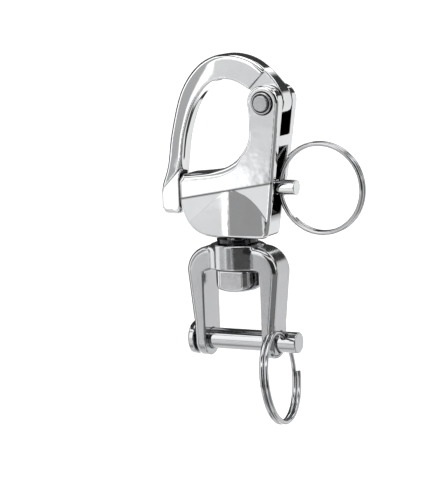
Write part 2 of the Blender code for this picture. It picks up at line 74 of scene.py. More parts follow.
PROW_HALF, PROW_SLOPE, PROW_NOSE = 5.3, 0.07, 1.4
PROW_FALL, PROW_FALL_START = 0.011, 5.0      # the prow bends back on the plunger's side
BAIL_HALF, BAIL_GAP, TONGUE_HALF, TONGUE_RADIUS = 3.4, 0.7, 2.7, 5.0
BAIL_EYE_EDGE, BAIL_RIM_EDGE, BAIL_LEG_FALL, BAIL_DRAFT = 0.6, 1.5, 0.9, 0.6
BAIL_WINDOW_EDGE, BAIL_FOOT_EDGE, BAIL_FOOT_BEVEL = 0.55, 2.15, 2.4
FOOT_LEFT, FOOT_BOTTOM = -23.1, PLUNGER_Z - 8.4
STEP_DISTANCE, STEP_ANGLE = 6.6, radians(135)
PIVOT_PIN_RADIUS, PIVOT_HEAD_RADIUS, PIVOT_BUTTON_RADIUS, EAR_FACE = 2.1, 3.1, 2.2, 6.93
RUNNING_GAP, FACE_GAP = 0.1, 0.3
NOSE_RADIUS, NOSE_TIP = 2.1, BODY_LEFT + 0.2
STEM_RADIUS, STEM_END = 2.2, 19.3
COLLAR_RADIUS, COLLAR_LEFT, COLLAR_WIDTH, TRAVEL = 2.9, 0.9, 1.4, 2.6
SPRING_CLEARANCE = 0.5         # kept off the spring, which stays its rest length in every pose
SPRING_BORE_RADIUS, PLUNGER_HOLE_X = 3.3, 14.2
WASHER_RADIUS, WASHER_TOP, JAW_TOP = 5.9, BODY_BOTTOM - 0.3, BODY_BOTTOM - 1.9
STUD_RADIUS, STUD_TOP = 3.5, PLUNGER_Z - 5.2
STUD_HEAD_RADIUS, STUD_HEAD_DEPTH = 6.5, 7.0
LOCK_PIN_RADIUS, LOCK_PIN_Z = 0.9, PLUNGER_Z - 9.6
JAW_UNDERSIDE, JAW_INNER, JAW_OUTER = PLUNGER_Z - 23.6, 9.0, 12.8
JAW_SHOULDER, JAW_SHOULDER_RADIUS, JAW_HALF_DEPTH, JAW_BOSS_RADIUS = 14.5, 7.4, 5.0, 7.5
JAW_CORNER, JAW_INNER_EDGE, JAW_OUTER_EDGE, JAW_FILLET = 1.6, 0.5, 1.8, 1.2
CLEVIS_Z, CLEVIS_RADIUS = PLUNGER_Z - 44.6, 3.0
CLEVIS_HEAD_RADIUS, CLEVIS_HEAD_WIDTH, CLEVIS_END, CLEVIS_HOLE_X = 4.8, 1.9, 18.6, 14.7
RING_MEAN_RADIUS, RING_WIRE, RING_PITCH, RING_TURNS = 12.6, 1.3, 1.36, 1.75
RING_HOLE_RADIUS = 1.15
CLEVIS_RING_DROP = 8.4
CLEVIS_RING_REACH = (RING_MEAN_RADIUS ** 2 - CLEVIS_RING_DROP ** 2) ** 0.5
CLEVIS_RING_LEAN = radians(9)

# The metal. Waves and grain are noise, with its scale and the depth of its relief in metres.
STEEL = (0.62, 0.625, 0.63)
# The pins, jaw, stud, rings and the CAD parts that still show are the same steel painted darker:
# painted shade, standing in for the darker reflections these pieces show.
PIN_TINT, JAW_TINT = (0.40, 0.405, 0.41), (0.42, 0.423, 0.43)
STUD_TINT, RING_TINT = (0.50, 0.503, 0.51), (0.44, 0.443, 0.45)
# The washer's near-black tint is painted shade, for the dark gap between body and jaw.
WASHER_SHADE_TINT, BORE_TINT = (0.05, 0.05, 0.053), (0.30, 0.303, 0.31)
WAVE_SCALE, WAVE_RELIEF = 180.0, 0.00008
GRAIN_SCALE, GRAIN_RELIEF = 2600.0, 0.000004
# Painted shade: its near-black colour, the soft edge of a painted dark ring, and the crease's
# line.
PAINTED_SHADE_COLOR = (0.012, 0.012, 0.013, 1.0)
SHADE_RING_EDGE = 0.12
# The painted shade along the crease: its drop below the crease, its width and its strength.
CREASE_DROP, CREASE_WIDTH, CREASE_SHADE_STRENGTH = 0.25, 0.5, 0.9
# Boxes of painted shade on the body: the ears' slot, the groove, the stud's bore, and the end
# that faces the bail's foot. Each is its low corner, its high corner and how far it fades in.
BODY_SHADE_BOXES = (
    ((-20.0, -3.3, SLOT_BOTTOM - 0.1), (20.0, 3.3, 10.0), (0.1, 0.15, 0.2)),
    ((0.0, -3.1, PLUNGER_Z - 10.0), (20.0, 3.1, PLUNGER_Z + 7.5), (0.1, 0.15, 3.0)),
    ((-6.0, -3.9, BODY_BOTTOM + 0.4), (6.0, 3.9, STUD_TOP + 1.0), (0.1, 0.15, 0.2)),
    ((-18.0, -9.0, PLUNGER_Z - 12.0), (-14.9, 9.0, PLUNGER_Z + 3.6), (0.3, 0.1, 1.0)),
)
# Painted shade rings round the pivot: a shadow on the ear, and the step between collar and button.
EAR_SHADOW_RING, PIN_SHADE_RING = (PIVOT_X, PIVOT_Z, 2.9, 3.5), (PIVOT_X, PIVOT_Z, 2.2, 2.75)

# Camera: the turn round the swivel axis, the height above level, the roll and the distance,
# then how far the plunger's axis, at the swivel axis, lies right of and above the middle.
VIEW_AZIMUTH = radians(27.5)
VIEW_ELEVATION = radians(8.5)
VIEW_ROLL = radians(2.1)
VIEW_DISTANCE = 0.60
PLUNGER_PLACE = Vector((0.0060286, 0.0165714))
SENSOR, LENS = 36.0, 154.918

FLOOR_SIZE, FLOOR_DROP = 40.0, 0.05
FLOOR_COLOR, FLOOR_GLOW = (0.95, 0.95, 0.95, 1.0), 0.28

# The studio: the light of its bare walls, and panels on them, which later panels cover. A panel
# is (from azimuth, to azimuth, from elevation, to elevation, soft edge, light), in degrees, with
# azimuth 0 in front of the object and rising to the right. The note on a panel says where it
# lies, or what mirrors most of it towards the camera.
STUDIO_POWER = 1.95
STUDIO_LEVEL, STUDIO_SLOPE = 1.0, 0.25       # at the horizon, and its rise towards the zenith
STUDIO = (
    (-180.0, 180.0, -90.0, -30.0, 6.0, 0.58),     # low walls all round
    (-180.0, 180.0, -90.0, -76.0, 4.0, 0.04),     # straight below
    (-180.0, 180.0, 50.0, 66.0, 3.0, 0.05),       # a dark band overhead
    (100.0, 176.0, -60.0, 30.0, 8.0, 0.62),       # behind, right: faces turned to the right
    (-64.0, -34.0, -6.2, 42.0, 2.0, 0.33),        # the bail's leg, above its foot
    (-64.0, -40.0, -60.0, -8.8, 2.0, 0.31),       # left edges of the jaw
    (-34.8, -29.3, -17.0, -9.6, 0.6, 0.56),       # the body, between prow and lower face, left
    (-39.0, -33.5, -17.0, -7.0, 1.0, 0.56),       # the prow's left face
    (-25.4, -5.0, -17.0, -6.0, 1.2, 0.24),        # the prow's right face
    (-45.0, -20.0, -27.0, -15.2, 1.0, 0.62),      # the body's lower face
    (-28.25, -20.0, -5.6, -1.0, 0.5, 0.54),       # the bail's crown
    (-34.0, -23.5, -11.9, -9.4, 0.5, 0.50),       # the column
    (-34.0, -23.5, -11.55, -11.2, 0.3, 0.60),     # a lighter patch on the column
    (-34.0, -23.5, -10.5, -9.4, 0.3, 0.60),       # the fronts of the jaw's legs
    (-33.5, -29.2, -9.4, -6.8, 0.4, 1.20),        # the prow's nose, left of its middle
    (-29.0, -27.9, -9.5, -7.9, 0.3, 0.08),        # the jaw's left shoulder, a dark line
    (-27.9, -25.0, -9.5, -7.5, 0.4, 0.34),        # the jaw's bridge; the prow's nose
    (-19.0, -8.0, -6.0, 6.0, 3.0, 0.20),          # right edges beside the pivot
    (4.0, 92.0, -50.0, -8.0, 3.0, 0.20),          # right edges of body and jaw
    (-4.0, 70.0, -10.0, 40.0, 2.0, 0.02),         # the top edge of the jaw, and the rings
    (70.0, 92.0, -8.0, 8.0, 4.0, 0.26),           # the pull ring's right edge
    (92.0, 104.0, -60.0, 60.0, 2.0, 0.03),        # a dark post on the right
    (100.0, 176.0, 15.0, 34.0, 3.0, 0.03),        # a dark shelf behind, right
    (-185.0, -90.0, -16.0, 72.0, 4.0, 0.03),      # a dark wall behind, left: left outlines
    (174.0, 185.0, -60.0, 14.0, 3.0, 0.03),       # a dark post behind
)


def view_axes():
    """Right, up and towards-the-camera directions, with the roll in them."""
    toward = Vector((sin(VIEW_AZIMUTH) * cos(VIEW_ELEVATION),
                     -cos(VIEW_AZIMUTH) * cos(VIEW_ELEVATION), sin(VIEW_ELEVATION)))
    right = Vector((cos(VIEW_AZIMUTH), sin(VIEW_AZIMUTH), 0.0))
    up = toward.cross(right)
    roll = Matrix.Rotation(-VIEW_ROLL, 3, toward)
    return roll @ right, roll @ up, toward


def plunger_height():
    low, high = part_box("plunger")
    return (low.z + high.z) / 2


def add_camera():
    right, up, toward = view_axes()
    anchor = Vector((0.0, 0.0, plunger_height()))
    target = anchor - right * PLUNGER_PLACE.x - up * PLUNGER_PLACE.y
    camera = bpy.data.objects.new("camera", bpy.data.cameras.new("camera"))
    bpy.context.scene.collection.objects.link(camera)
    camera.data.sensor_fit = "VERTICAL"
    camera.data.sensor_height = SENSOR
    camera.data.lens = LENS
    camera.data.clip_start = 0.01
    camera.matrix_world = Matrix.Translation(target + toward * VIEW_DISTANCE) @ Matrix(
        (right, up, toward)).transposed().to_4x4()
    bpy.context.scene.camera = camera


def arc(center, radius, start, end, steps):
    """Points on an arc in the XZ plane, angles in degrees from +X towards +Z."""
    points = []
    for index in range(steps + 1):
        angle = radians(start + (end - start) * index / steps)
        points.append((center[0] + radius * cos(angle), center[1] + radius * sin(angle)))
    return points


def curve_through(points, steps=16):
    """Catmull-Rom curve through the inner points of a list; the outer two steer its ends."""
    result = []
    for index in range(1, len(points) - 2):
        p0, p1, p2, p3 = (Vector(p) for p in points[index - 1:index + 3])
        for step in range(steps):
            t = step / steps
            point = 0.5 * (2 * p1 + (p2 - p0) * t + (2 * p0 - 5 * p1 + 4 * p2 - p3) * t * t
                           + (3 * p1 - p0 - 3 * p2 + p3) * t * t * t)
            result.append((point.x, point.y))
    result.append(tuple(points[-2]))
    return result


def outline_field(outline, cell=0.2, margin=3.0):
    """Signed distance to a closed outline in XZ, kept on a lattice and read as a smooth spline."""
    points = np.array(outline)
    low = points.min(0) - margin
    size = np.ceil((points.max(0) + margin - low) / cell).astype(int) + 1
    across = (low[0] + cell * np.arange(size[0]))[:, None]
    up = (low[1] + cell * np.arange(size[1]))[None, :]
    nearest = np.full(size, 1e9)
    inside = np.zeros(size, bool)
    for start, end in zip(points, np.roll(points, -1, 0)):
        edge = end - start
        length = edge @ edge
        if length < 1e-12:
            continue
        share = np.clip(((across - start[0]) * edge[0] + (up - start[1]) * edge[1]) / length, 0, 1)
        gap_x = across - start[0] - share * edge[0]
        gap_z = up - start[1] - share * edge[1]
        nearest = np.minimum(nearest, gap_x * gap_x + gap_z * gap_z)
        if abs(edge[1]) > 1e-12:
            spans = (start[1] > up) != (end[1] > up)
            inside ^= spans & (across < start[0] + edge[0] * (up - start[1]) / edge[1])
    lattice = np.where(inside, -1.0, 1.0) * np.sqrt(nearest)

    def weights(place, origin, count):
        place = np.clip((place - origin) / cell, 1.0, count - 2.001)
        index = np.floor(place).astype(int)
        t = place - index
        return index, ((1 - t) ** 3 / 6, (3 * t ** 3 - 6 * t * t + 4) / 6,
                       (1 + 3 * t + 3 * t * t - 3 * t ** 3) / 6, t ** 3 / 6)

    def read(x, z):
        column, column_weights = weights(x, low[0], size[0])
        row, row_weights = weights(z, low[1], size[1])
        total = 0.0
        for i in range(4):
            for j in range(4):
                value = lattice[column + i - 1, row + j - 1]
                total = total + column_weights[i] * row_weights[j] * value
        return total
    return read


def both(a, b, radius):
    """Where two solids overlap, with the edge rounded."""
    corner = np.hypot(np.maximum(a + radius, 0), np.maximum(b + radius, 0))
    return np.minimum(np.maximum(a, b), -radius) + corner


def either(a, b, radius):
    """Two solids joined, with a fillet in the corner."""
    return -both(-a, -b, radius)


def without(a, b, radius):
    return both(a, -b, radius)


def smooth_step(value, low, high):
    share = np.clip((value - low) / (high - low), 0, 1)
    return share * share * (3 - 2 * share)


def rod(axis, radius, x, y, z, center=(0.0, 0.0)):
    """Distance to an endless round bar along one axis; center is its place on the other two."""
    a, b = {"X": (y, z), "Y": (x, z), "Z": (x, y)}[axis]
    return np.hypot(a - center[0], b - center[1]) - radius


def gradient(distance, places, step):
    slope = np.empty_like(places)
    for axis in range(3):
        shift = np.zeros(3)
        shift[axis] = step
        ahead = distance(*(places + shift).T)
        behind = distance(*(places - shift).T)
        slope[:, axis] = (ahead - behind) / (2 * step)
    return slope


def cast(name, distance, low, high, cell):
    """A fine mesh of the surface where a distance function is zero, with its own true normals."""
    low = np.array(low, float)
    axes = [np.arange(low[a], high[a] + cell, cell) for a in range(3)]
    size = tuple(len(a) for a in axes)
    values = np.broadcast_to(distance(axes[0][:, None, None], axes[1][None, :, None],
                                      axes[2][None, None, :]), size)
    inside = values < 0
    count = np.zeros([n - 1 for n in size], np.int8)
    for corner in np.ndindex(2, 2, 2):
        count += inside[tuple(slice(c, n - 1 + c) for c, n in zip(corner, size))]
    cells = np.argwhere((count > 0) & (count < 8))
    number = np.full(count.shape, -1)
    number[tuple(cells.T)] = np.arange(len(cells))
    total = np.zeros((len(cells), 3))
    crossings = np.zeros(len(cells))
    for axis in range(3):
        for corner in np.ndindex(2, 2, 2):
            if corner[axis]:
                continue
            start = cells + corner
            end = start.copy()
            end[:, axis] += 1
            first, second = values[tuple(start.T)], values[tuple(end.T)]
            crossed = (first < 0) != (second < 0)
            share = np.where(crossed, first / np.where(crossed, first - second, 1.0), 0.0)
            place = np.tile(np.array(corner, float), (len(cells), 1))
            place[:, axis] = share
            total += place * crossed[:, None]
            crossings += crossed
    places = low + (cells + total / crossings[:, None]) * cell
    for _ in range(3):
        slope = gradient(distance, places, 0.02)
        reach = np.clip(distance(*places.T), -cell / 2, cell / 2)
        places -= slope * (reach / np.maximum((slope ** 2).sum(1), 0.2))[:, None]
    faces = []
    for axis in range(3):
        order = (axis, (axis + 1) % 3, (axis + 2) % 3)
        solid = inside.transpose(order)
        index = number.transpose(order)
        changed = solid[:-1, 1:-1, 1:-1] != solid[1:, 1:-1, 1:-1]
        i, j, k = (np.argwhere(changed) + (0, 1, 1)).T
        quads = np.stack([index[i, j - 1, k - 1], index[i, j, k - 1], index[i, j, k],
                          index[i, j - 1, k]], 1)
        turned_over = ~solid[i, j, k]
        quads[turned_over] = quads[turned_over][:, ::-1]
        faces.append(quads)
    faces = np.concatenate(faces)
    normals = gradient(distance, places, 0.06)
    normals /= np.maximum(np.linalg.norm(normals, axis=1), 1e-9)[:, None]
    mesh = bpy.data.meshes.new(name)
    mesh.from_pydata((places * MM).tolist(), [], faces.tolist())
    mesh.shade_smooth()
    mesh.normals_split_custom_set_from_vertices(normals.tolist())
    piece = bpy.data.objects.new(name, mesh)
    bpy.context.scene.collection.objects.link(piece)
    return piece


def node_link(tree, source, output, target, socket):
    tree.links.new(source.outputs[output], target.inputs[socket])


def polished_steel(name, tint, roughness, scratch, shade_boxes=(), shade_rings=(), crease=False):
    """Mirror-polished cast stainless steel: soft waviness, fine scratches, patchy gloss.

    Within each given shade box the colour is painted near-black, as painted shade.
    A box is in millimetres: its low corner, its high corner and how far it fades in along each
    axis.
    Each given dark ring round a Y axis is painted shade: (x, z, inner radius, outer radius).
    The crease is a painted dark line of shade where the body's faces meet.
    """
    material = bpy.data.materials.new(name)
    material.use_nodes = True
    tree = material.node_tree
    shader = tree.nodes["Principled BSDF"]
    shader.inputs["Metallic"].default_value = 1.0
    coords = tree.nodes.new("ShaderNodeTexCoord")

    waves = tree.nodes.new("ShaderNodeTexNoise")
    waves.inputs["Scale"].default_value = WAVE_SCALE
    waves.inputs["Detail"].default_value = 2.0
    node_link(tree, coords, "Object", waves, "Vector")

    grain = tree.nodes.new("ShaderNodeTexNoise")
    grain.inputs["Scale"].default_value = GRAIN_SCALE
    grain.inputs["Detail"].default_value = 4.0
    node_link(tree, coords, "Object", grain, "Vector")

    gloss = tree.nodes.new("ShaderNodeMapRange")
    gloss.inputs["From Min"].default_value = 0.35
    gloss.inputs["From Max"].default_value = 0.7
    gloss.inputs["To Min"].default_value = roughness * 0.7
    gloss.inputs["To Max"].default_value = roughness * 1.5
    node_link(tree, grain, "Fac", gloss, "Value")
    node_link(tree, gloss, "Result", shader, "Roughness")

    color = tree.nodes.new("ShaderNodeMix")
    color.data_type = "RGBA"
    red, green, blue = tint
    color.inputs["A"].default_value = (red, green, blue, 1.0)
    color.inputs["B"].default_value = (red * 0.9, green * 0.9, blue * 0.91, 1.0)
    node_link(tree, waves, "Fac", color, "Factor")
    # Painted shade: a near-black colour mixed into the steel where the mask is 1.
    dark = painted_shade_mask(tree, coords, shade_boxes, shade_rings, crease)
    if dark is None:
        node_link(tree, color, "Result", shader, "Base Color")
    else:
        inner = tree.nodes.new("ShaderNodeMix")
        inner.data_type = "RGBA"
        inner.inputs["B"].default_value = PAINTED_SHADE_COLOR
        tree.links.new(dark, inner.inputs["Factor"])
        node_link(tree, color, "Result", inner, "A")
        node_link(tree, inner, "Result", shader, "Base Color")

    broad = tree.nodes.new("ShaderNodeBump")
    broad.inputs["Strength"].default_value = 0.25
    broad.inputs["Distance"].default_value = WAVE_RELIEF
    node_link(tree, waves, "Fac", broad, "Height")
    fine = tree.nodes.new("ShaderNodeBump")
    fine.inputs["Strength"].default_value = scratch
    fine.inputs["Distance"].default_value = GRAIN_RELIEF
    node_link(tree, grain, "Fac", fine, "Height")
    node_link(tree, broad, "Normal", fine, "Normal")
    node_link(tree, fine, "Normal", shader, "Normal")
    return material


def calculator(tree):
    """A function that adds one math node to a tree and gives its output."""
    def math(operation, *values):
        node = tree.nodes.new("ShaderNodeMath")
        node.operation = operation
        for slot, value in enumerate(values):
            if isinstance(value, (int, float)):
                node.inputs[slot].default_value = value
            else:
                tree.links.new(value, node.inputs[slot])
        return node.outputs[0]
    return math


def painted_shade_mask(tree, coords, shade_boxes, shade_rings, crease):
    """1 where shade is painted on a piece and 0 on its polished faces, or None where it has none.
    """
    if not shade_boxes and not shade_rings and not crease:
        return None
    math = calculator(tree)
    split = tree.nodes.new("ShaderNodeSeparateXYZ")
    node_link(tree, coords, "Object", split, "Vector")
    place = [math("DIVIDE", output, MM) for output in split.outputs]
    depth = math("ABSOLUTE", place[1])
    total = 0.0
    for low, high, edges in shade_boxes:
        least = 1.0
        for axis in range(3):
            reach = math("ABSOLUTE", math("SUBTRACT", place[axis], (low[axis] + high[axis]) / 2))
            inside = math("SUBTRACT", (high[axis] - low[axis]) / 2, reach)
            least = math("MINIMUM", least, math("DIVIDE", inside, edges[axis]))
        total = math("MAXIMUM", total, least)
    # Painted shade in rings round a Y axis.
    for x, z, inner, outer in shade_rings:
        across = math("SUBTRACT", place[0], x)
        up = math("SUBTRACT", place[2], z)
        spread = math("SQRT", math("ADD", math("MULTIPLY", across, across),
                                   math("MULTIPLY", up, up)))
        off = math("ABSOLUTE", math("SUBTRACT", spread, (inner + outer) / 2))
        inside = math("SUBTRACT", (outer - inner) / 2, off)
        total = math("MAXIMUM", total, math("DIVIDE", inside, SHADE_RING_EDGE))
    # A painted dark line of shade along the crease, on the broad faces only.
    if crease:
        level = math("MULTIPLY_ADD", place[0], CREASE_SLOPE, crease_z(0.0))
        off = math("ABSOLUTE", math("SUBTRACT", math("SUBTRACT", level, place[2]), CREASE_DROP))
        line = math("DIVIDE", math("SUBTRACT", CREASE_WIDTH, off), CREASE_WIDTH)
        line = math("MULTIPLY", line, math("GREATER_THAN", depth, BODY_HALF - 0.5))
        total = math("MAXIMUM", total, math("MULTIPLY", line, CREASE_SHADE_STRENGTH))
    return math("MAXIMUM", math("MINIMUM", total, 1.0), 0.0)


def add_world():
    """A bright studio whose panels show in the polished metal."""
    world = bpy.data.worlds.new("studio")
    world.use_nodes = True
    tree = world.node_tree
    background = tree.nodes["Background"]
    background.inputs["Color"].default_value = (1, 1, 1, 1)

    math = calculator(tree)

    def ramp(value, low, high, edge):
        """1 between two bounds, falling to 0 over the edge on each side."""
        rise = math("DIVIDE", math("SUBTRACT", value, low - edge / 2), edge)
        fall = math("DIVIDE", math("SUBTRACT", high + edge / 2, value), edge)
        inside = math("MINIMUM", rise, fall)
        return math("MAXIMUM", math("MINIMUM", inside, 1.0), 0.0)

    coords = tree.nodes.new("ShaderNodeTexCoord")
    split = tree.nodes.new("ShaderNodeSeparateXYZ")
    node_link(tree, coords, "Generated", split, "Vector")
    x, y, z = split.outputs
    azimuth = math("DEGREES", math("ARCTAN2", x, math("MULTIPLY", y, -1.0)))
    elevation = math("DEGREES", math("ARCSINE", z))
    height = math("SINE", math("RADIANS", elevation))
    light = math("MULTIPLY_ADD", height, STUDIO_SLOPE, STUDIO_LEVEL)
    for low_az, high_az, low_el, high_el, edge, level in STUDIO:
        mask = math("MULTIPLY", ramp(azimuth, low_az, high_az, edge),
                    ramp(elevation, low_el, high_el, edge))
        if high_az > 180.0:
            wrapped = math("MULTIPLY", ramp(azimuth, low_az - 360.0, high_az - 360.0, edge),
                           ramp(elevation, low_el, high_el, edge))
            mask = math("MAXIMUM", mask, wrapped)
        change = math("SUBTRACT", level, light)
        light = math("MULTIPLY_ADD", change, mask, light)
    rays = tree.nodes.new("ShaderNodeLightPath")
    light = math("MULTIPLY", light, STUDIO_POWER)
    seen = math("MAXIMUM", light, rays.outputs["Is Camera Ray"])
    tree.links.new(seen, background.inputs["Strength"])
    bpy.context.scene.world = world


def pale_floor():
    material = bpy.data.materials.new("pale_floor")
    material.use_nodes = True
    shader = material.node_tree.nodes["Principled BSDF"]
    shader.inputs["Base Color"].default_value = FLOOR_COLOR
    shader.inputs["Roughness"].default_value = 0.9
    shader.inputs["Specular IOR Level"].default_value = 0.1
    shader.inputs["Emission Color"].default_value = FLOOR_COLOR
    shader.inputs["Emission Strength"].default_value = FLOOR_GLOW
    return material


def add_floor():
    """A wide pale floor below the object. The metal mirrors the studio's panels, not the floor."""
    mesh = bpy.data.meshes.new("floor")
    reach = FLOOR_SIZE / 2
    mesh.from_pydata([(-reach, -reach, 0), (reach, -reach, 0), (reach, reach, 0),
                      (-reach, reach, 0)], [], [(0, 1, 2, 3)])
    mesh.materials.append(pale_floor())
    floor = bpy.data.objects.new("floor", mesh)
    bpy.context.scene.collection.objects.link(floor)
    floor.location.z = cad_box[0][2] - FLOOR_DROP
    floor.visible_glossy = False


def crease_z(x):
    return CREASE_LEFT_Z + CREASE_SLOPE * (x - BODY_LEFT)


def body_outline():
    """The ears, the window's edge, the left end, the bottom and the right side."""
    outline = arc((PIVOT_X, PIVOT_Z), EAR_RADIUS, -10, 196, 60)
    outline += curve_through([(8.4, PIVOT_Z + 8), (7.8, PIVOT_Z - 3), (7.3, PLUNGER_Z + 14.0),
                              (4.6, PLUNGER_Z + 9.6), (0.4, PLUNGER_Z + 6.4),
                              (-5.0, PLUNGER_Z + 4.7), (-14.4, SADDLE_Z - 0.7),
                              (-22.0, SADDLE_Z - 1.2)])
    outline += [(BODY_LEFT, SADDLE_Z - 2.2)]
    outline += curve_through([(BODY_LEFT + 0.4, PLUNGER_Z + 1), (BODY_LEFT, CREASE_LEFT_Z),
                              (BODY_LEFT + 0.2, PLUNGER_Z - 5.6), (-13.7, PLUNGER_Z - 10.6),
                              (-9.6, PLUNGER_Z - 13.6), (-3.6, BODY_BOTTOM),
                              (4.0, BODY_BOTTOM - 0.6)])
    outline += [(9.4, BODY_BOTTOM)]
    outline += arc((9.6, BODY_BOTTOM + 2.2), 2.2, -70, -10, 12)
    outline += [(BODY_RIGHT, CREASE_RIGHT_Z), (BODY_RIGHT + 1.3, PLUNGER_Z + 11.0)]
    return outline


def build_body():
    """Two tapering faces that meet at the crease, a prow below, and all the bores and slots."""
    field = outline_field(body_outline())

    def distance(x, y, z):
        side = field(x, z)
        depth = np.abs(y)
        rise = z - crease_z(x)
        bend = np.sqrt(((BODY_TAPER_DOWN - BODY_WIDEN_UP) * rise) ** 2 + CREASE_SOFTNESS ** 2)
        half = BODY_HALF + (BODY_TAPER_DOWN + BODY_WIDEN_UP) / 2 * rise - bend / 2
        saddle = (smooth_step(-x, -5.5, -2.5) * smooth_step(z, PLUNGER_Z + 1.0, PLUNGER_Z + 2.5)
                  * smooth_step(-z, -PLUNGER_Z - 13.0, -PLUNGER_Z - 10.5))
        block = both(side, depth - half, 0.9 + 0.9 * saddle)
        ridge = PROW_HALF - PROW_SLOPE * (np.sqrt(x * x + PROW_NOSE ** 2) - PROW_NOSE)
        ridge = ridge - PROW_FALL * np.maximum(x - PROW_FALL_START, 0.0) ** 2
        prow = both(both(side, depth - ridge, 0.9), rise + 0.2, 0.3)
        block = either(block, prow, 0.04)
        slot = np.maximum(np.maximum(depth - SLOT_HALF, SLOT_BOTTOM - z), -2.0 - x)
        block = without(block, slot, 0.35)
        groove = np.maximum(rod("Y", GROOVE_RADIUS, x, y, z, (GROOVE_X, PLUNGER_Z)),
                            depth - GROOVE_HALF)
        block = without(block, groove, 0.35)
        nose = np.maximum(rod("X", NOSE_RADIUS + RUNNING_GAP, x, y, z, (0.0, PLUNGER_Z)), x)
        block = without(block, nose, 0.3)
        spring = np.maximum(rod("X", SPRING_BORE_RADIUS, x, y, z, (0.0, PLUNGER_Z)),
                            COLLAR_LEFT - TRAVEL - 0.3 - x)
        block = without(block, spring, 0.3)
        pivot = rod("Y", PIVOT_PIN_RADIUS + RUNNING_GAP, x, y, z, (PIVOT_X, PIVOT_Z))
        block = without(block, pivot, 0.1)
        stud = np.maximum(rod("Z", STUD_RADIUS + RUNNING_GAP, x, y, z), z - STUD_TOP - FACE_GAP)
        block = without(block, stud, 0.2)
        lock = np.maximum(rod("Y", LOCK_PIN_RADIUS + RUNNING_GAP, x, y, z,
                              (STUD_RADIUS, LOCK_PIN_Z)), -y)
        return without(block, lock, 0.1)

    return cast("body_cast", distance, (-17.0, -8.0, BODY_BOTTOM - 1.0),
                (19.0, 8.0, PIVOT_Z + EAR_RADIUS + 1.0), 0.3)


def bail_outlines():
    """The outer edge closed by the eye and the foot, and the window that is cut out of it."""
    plunger = PLUNGER_Z
    edge = BODY_LEFT - BAIL_GAP
    crown = curve_through([(FOOT_LEFT, FOOT_BOTTOM - 10.0), (FOOT_LEFT, plunger - 4.6),
                           (-22.9, plunger - 0.4), (-20.8, plunger + 6.0),
                           (-19.2, plunger + 15.6), (-15.5, plunger + 27.6),
                           (-9.4, plunger + 34.9), (-1.2, plunger + 37.9),
                           (7.2, plunger + 36.4), (14.0, plunger + 31.0),
                           (17.2, PIVOT_Z + 1.4), (17.3, PIVOT_Z - 4.0)])
    crown += arc((PIVOT_X, PIVOT_Z), TONGUE_RADIUS, 4, -150, 40)
    crown += [(8.0, FOOT_BOTTOM - 20.0), (FOOT_LEFT, FOOT_BOTTOM - 20.0)]
    window = curve_through([(9.0, PIVOT_Z - 9.0), (7.7, PIVOT_Z + 1.4), (5.8, plunger + 28.4),
                            (0.6, plunger + 30.6), (-5.4, plunger + 29.8),
                            (-11.2, plunger + 24.4), (-14.6, plunger + 16.0),
                            (-15.9, plunger + 8.4), (-16.0, plunger + 4.6),
                            (edge, plunger + 1.8), (edge, plunger - 3.0)])
    window += [(edge, FOOT_BOTTOM - 6.0), (8.0, FOOT_BOTTOM - 6.0), (8.0, PIVOT_Z - 5.4)]
    return crown, window


def build_bail():
    """A bar of crowned section, thinner towards the outer rim on its leg, with a tongue."""
    outer, inner = (outline_field(outline) for outline in bail_outlines())

    def distance(x, y, z):
        depth = np.abs(y)
        reach = np.hypot(x - PIVOT_X, z - PIVOT_Z)
        rim, window = outer(x, z), inner(x, z)
        share = np.clip(window / np.maximum(window - rim, 0.1), 0.0, 1.0)
        leg = smooth_step(-x, 3.0, 14.5)
        edge = BAIL_EYE_EDGE + (BAIL_RIM_EDGE - BAIL_EYE_EDGE) * smooth_step(reach, 4.6, 6.6)
        bar = both(rim, depth - BAIL_HALF + BAIL_LEG_FALL * share ** 2 * leg, edge)
        draft = BAIL_DRAFT * smooth_step(-y, -1.0, BAIL_HALF) * smooth_step(-x, 6.0, 11.0)
        foot = smooth_step(-z, -PLUNGER_Z - 9.0, -PLUNGER_Z - 2.0)
        bar = both(bar, FOOT_BOTTOM - z, BAIL_FOOT_BEVEL)
        edge = BAIL_WINDOW_EDGE + (BAIL_FOOT_EDGE - BAIL_WINDOW_EDGE) * foot
        bar = without(bar, window + draft * (1.0 - foot), edge)
        along = ((x - PIVOT_X) * cos(STEP_ANGLE) + (z - PIVOT_Z) * sin(STEP_ANGLE)
                 - STEP_DISTANCE)
        relief = np.maximum(along, TONGUE_HALF - depth)
        bar = without(bar, relief, 0.2)
        eye = rod("Y", PIVOT_PIN_RADIUS + RUNNING_GAP, x, y, z, (PIVOT_X, PIVOT_Z))
        bar = without(bar, eye, 0.15)
        hole = np.maximum(rod("X", NOSE_RADIUS + 0.2, x, y, z, (0.0, PLUNGER_Z)),
                          BODY_LEFT - BAIL_GAP - 3.2 - x)
        return without(bar, np.maximum(hole, x + 10.0), 0.2)

    return cast("bail_cast", distance, (-24.5, -4.0, FOOT_BOTTOM - 1.0),
                (18.6, 4.0, PLUNGER_Z + 39.0), 0.3)


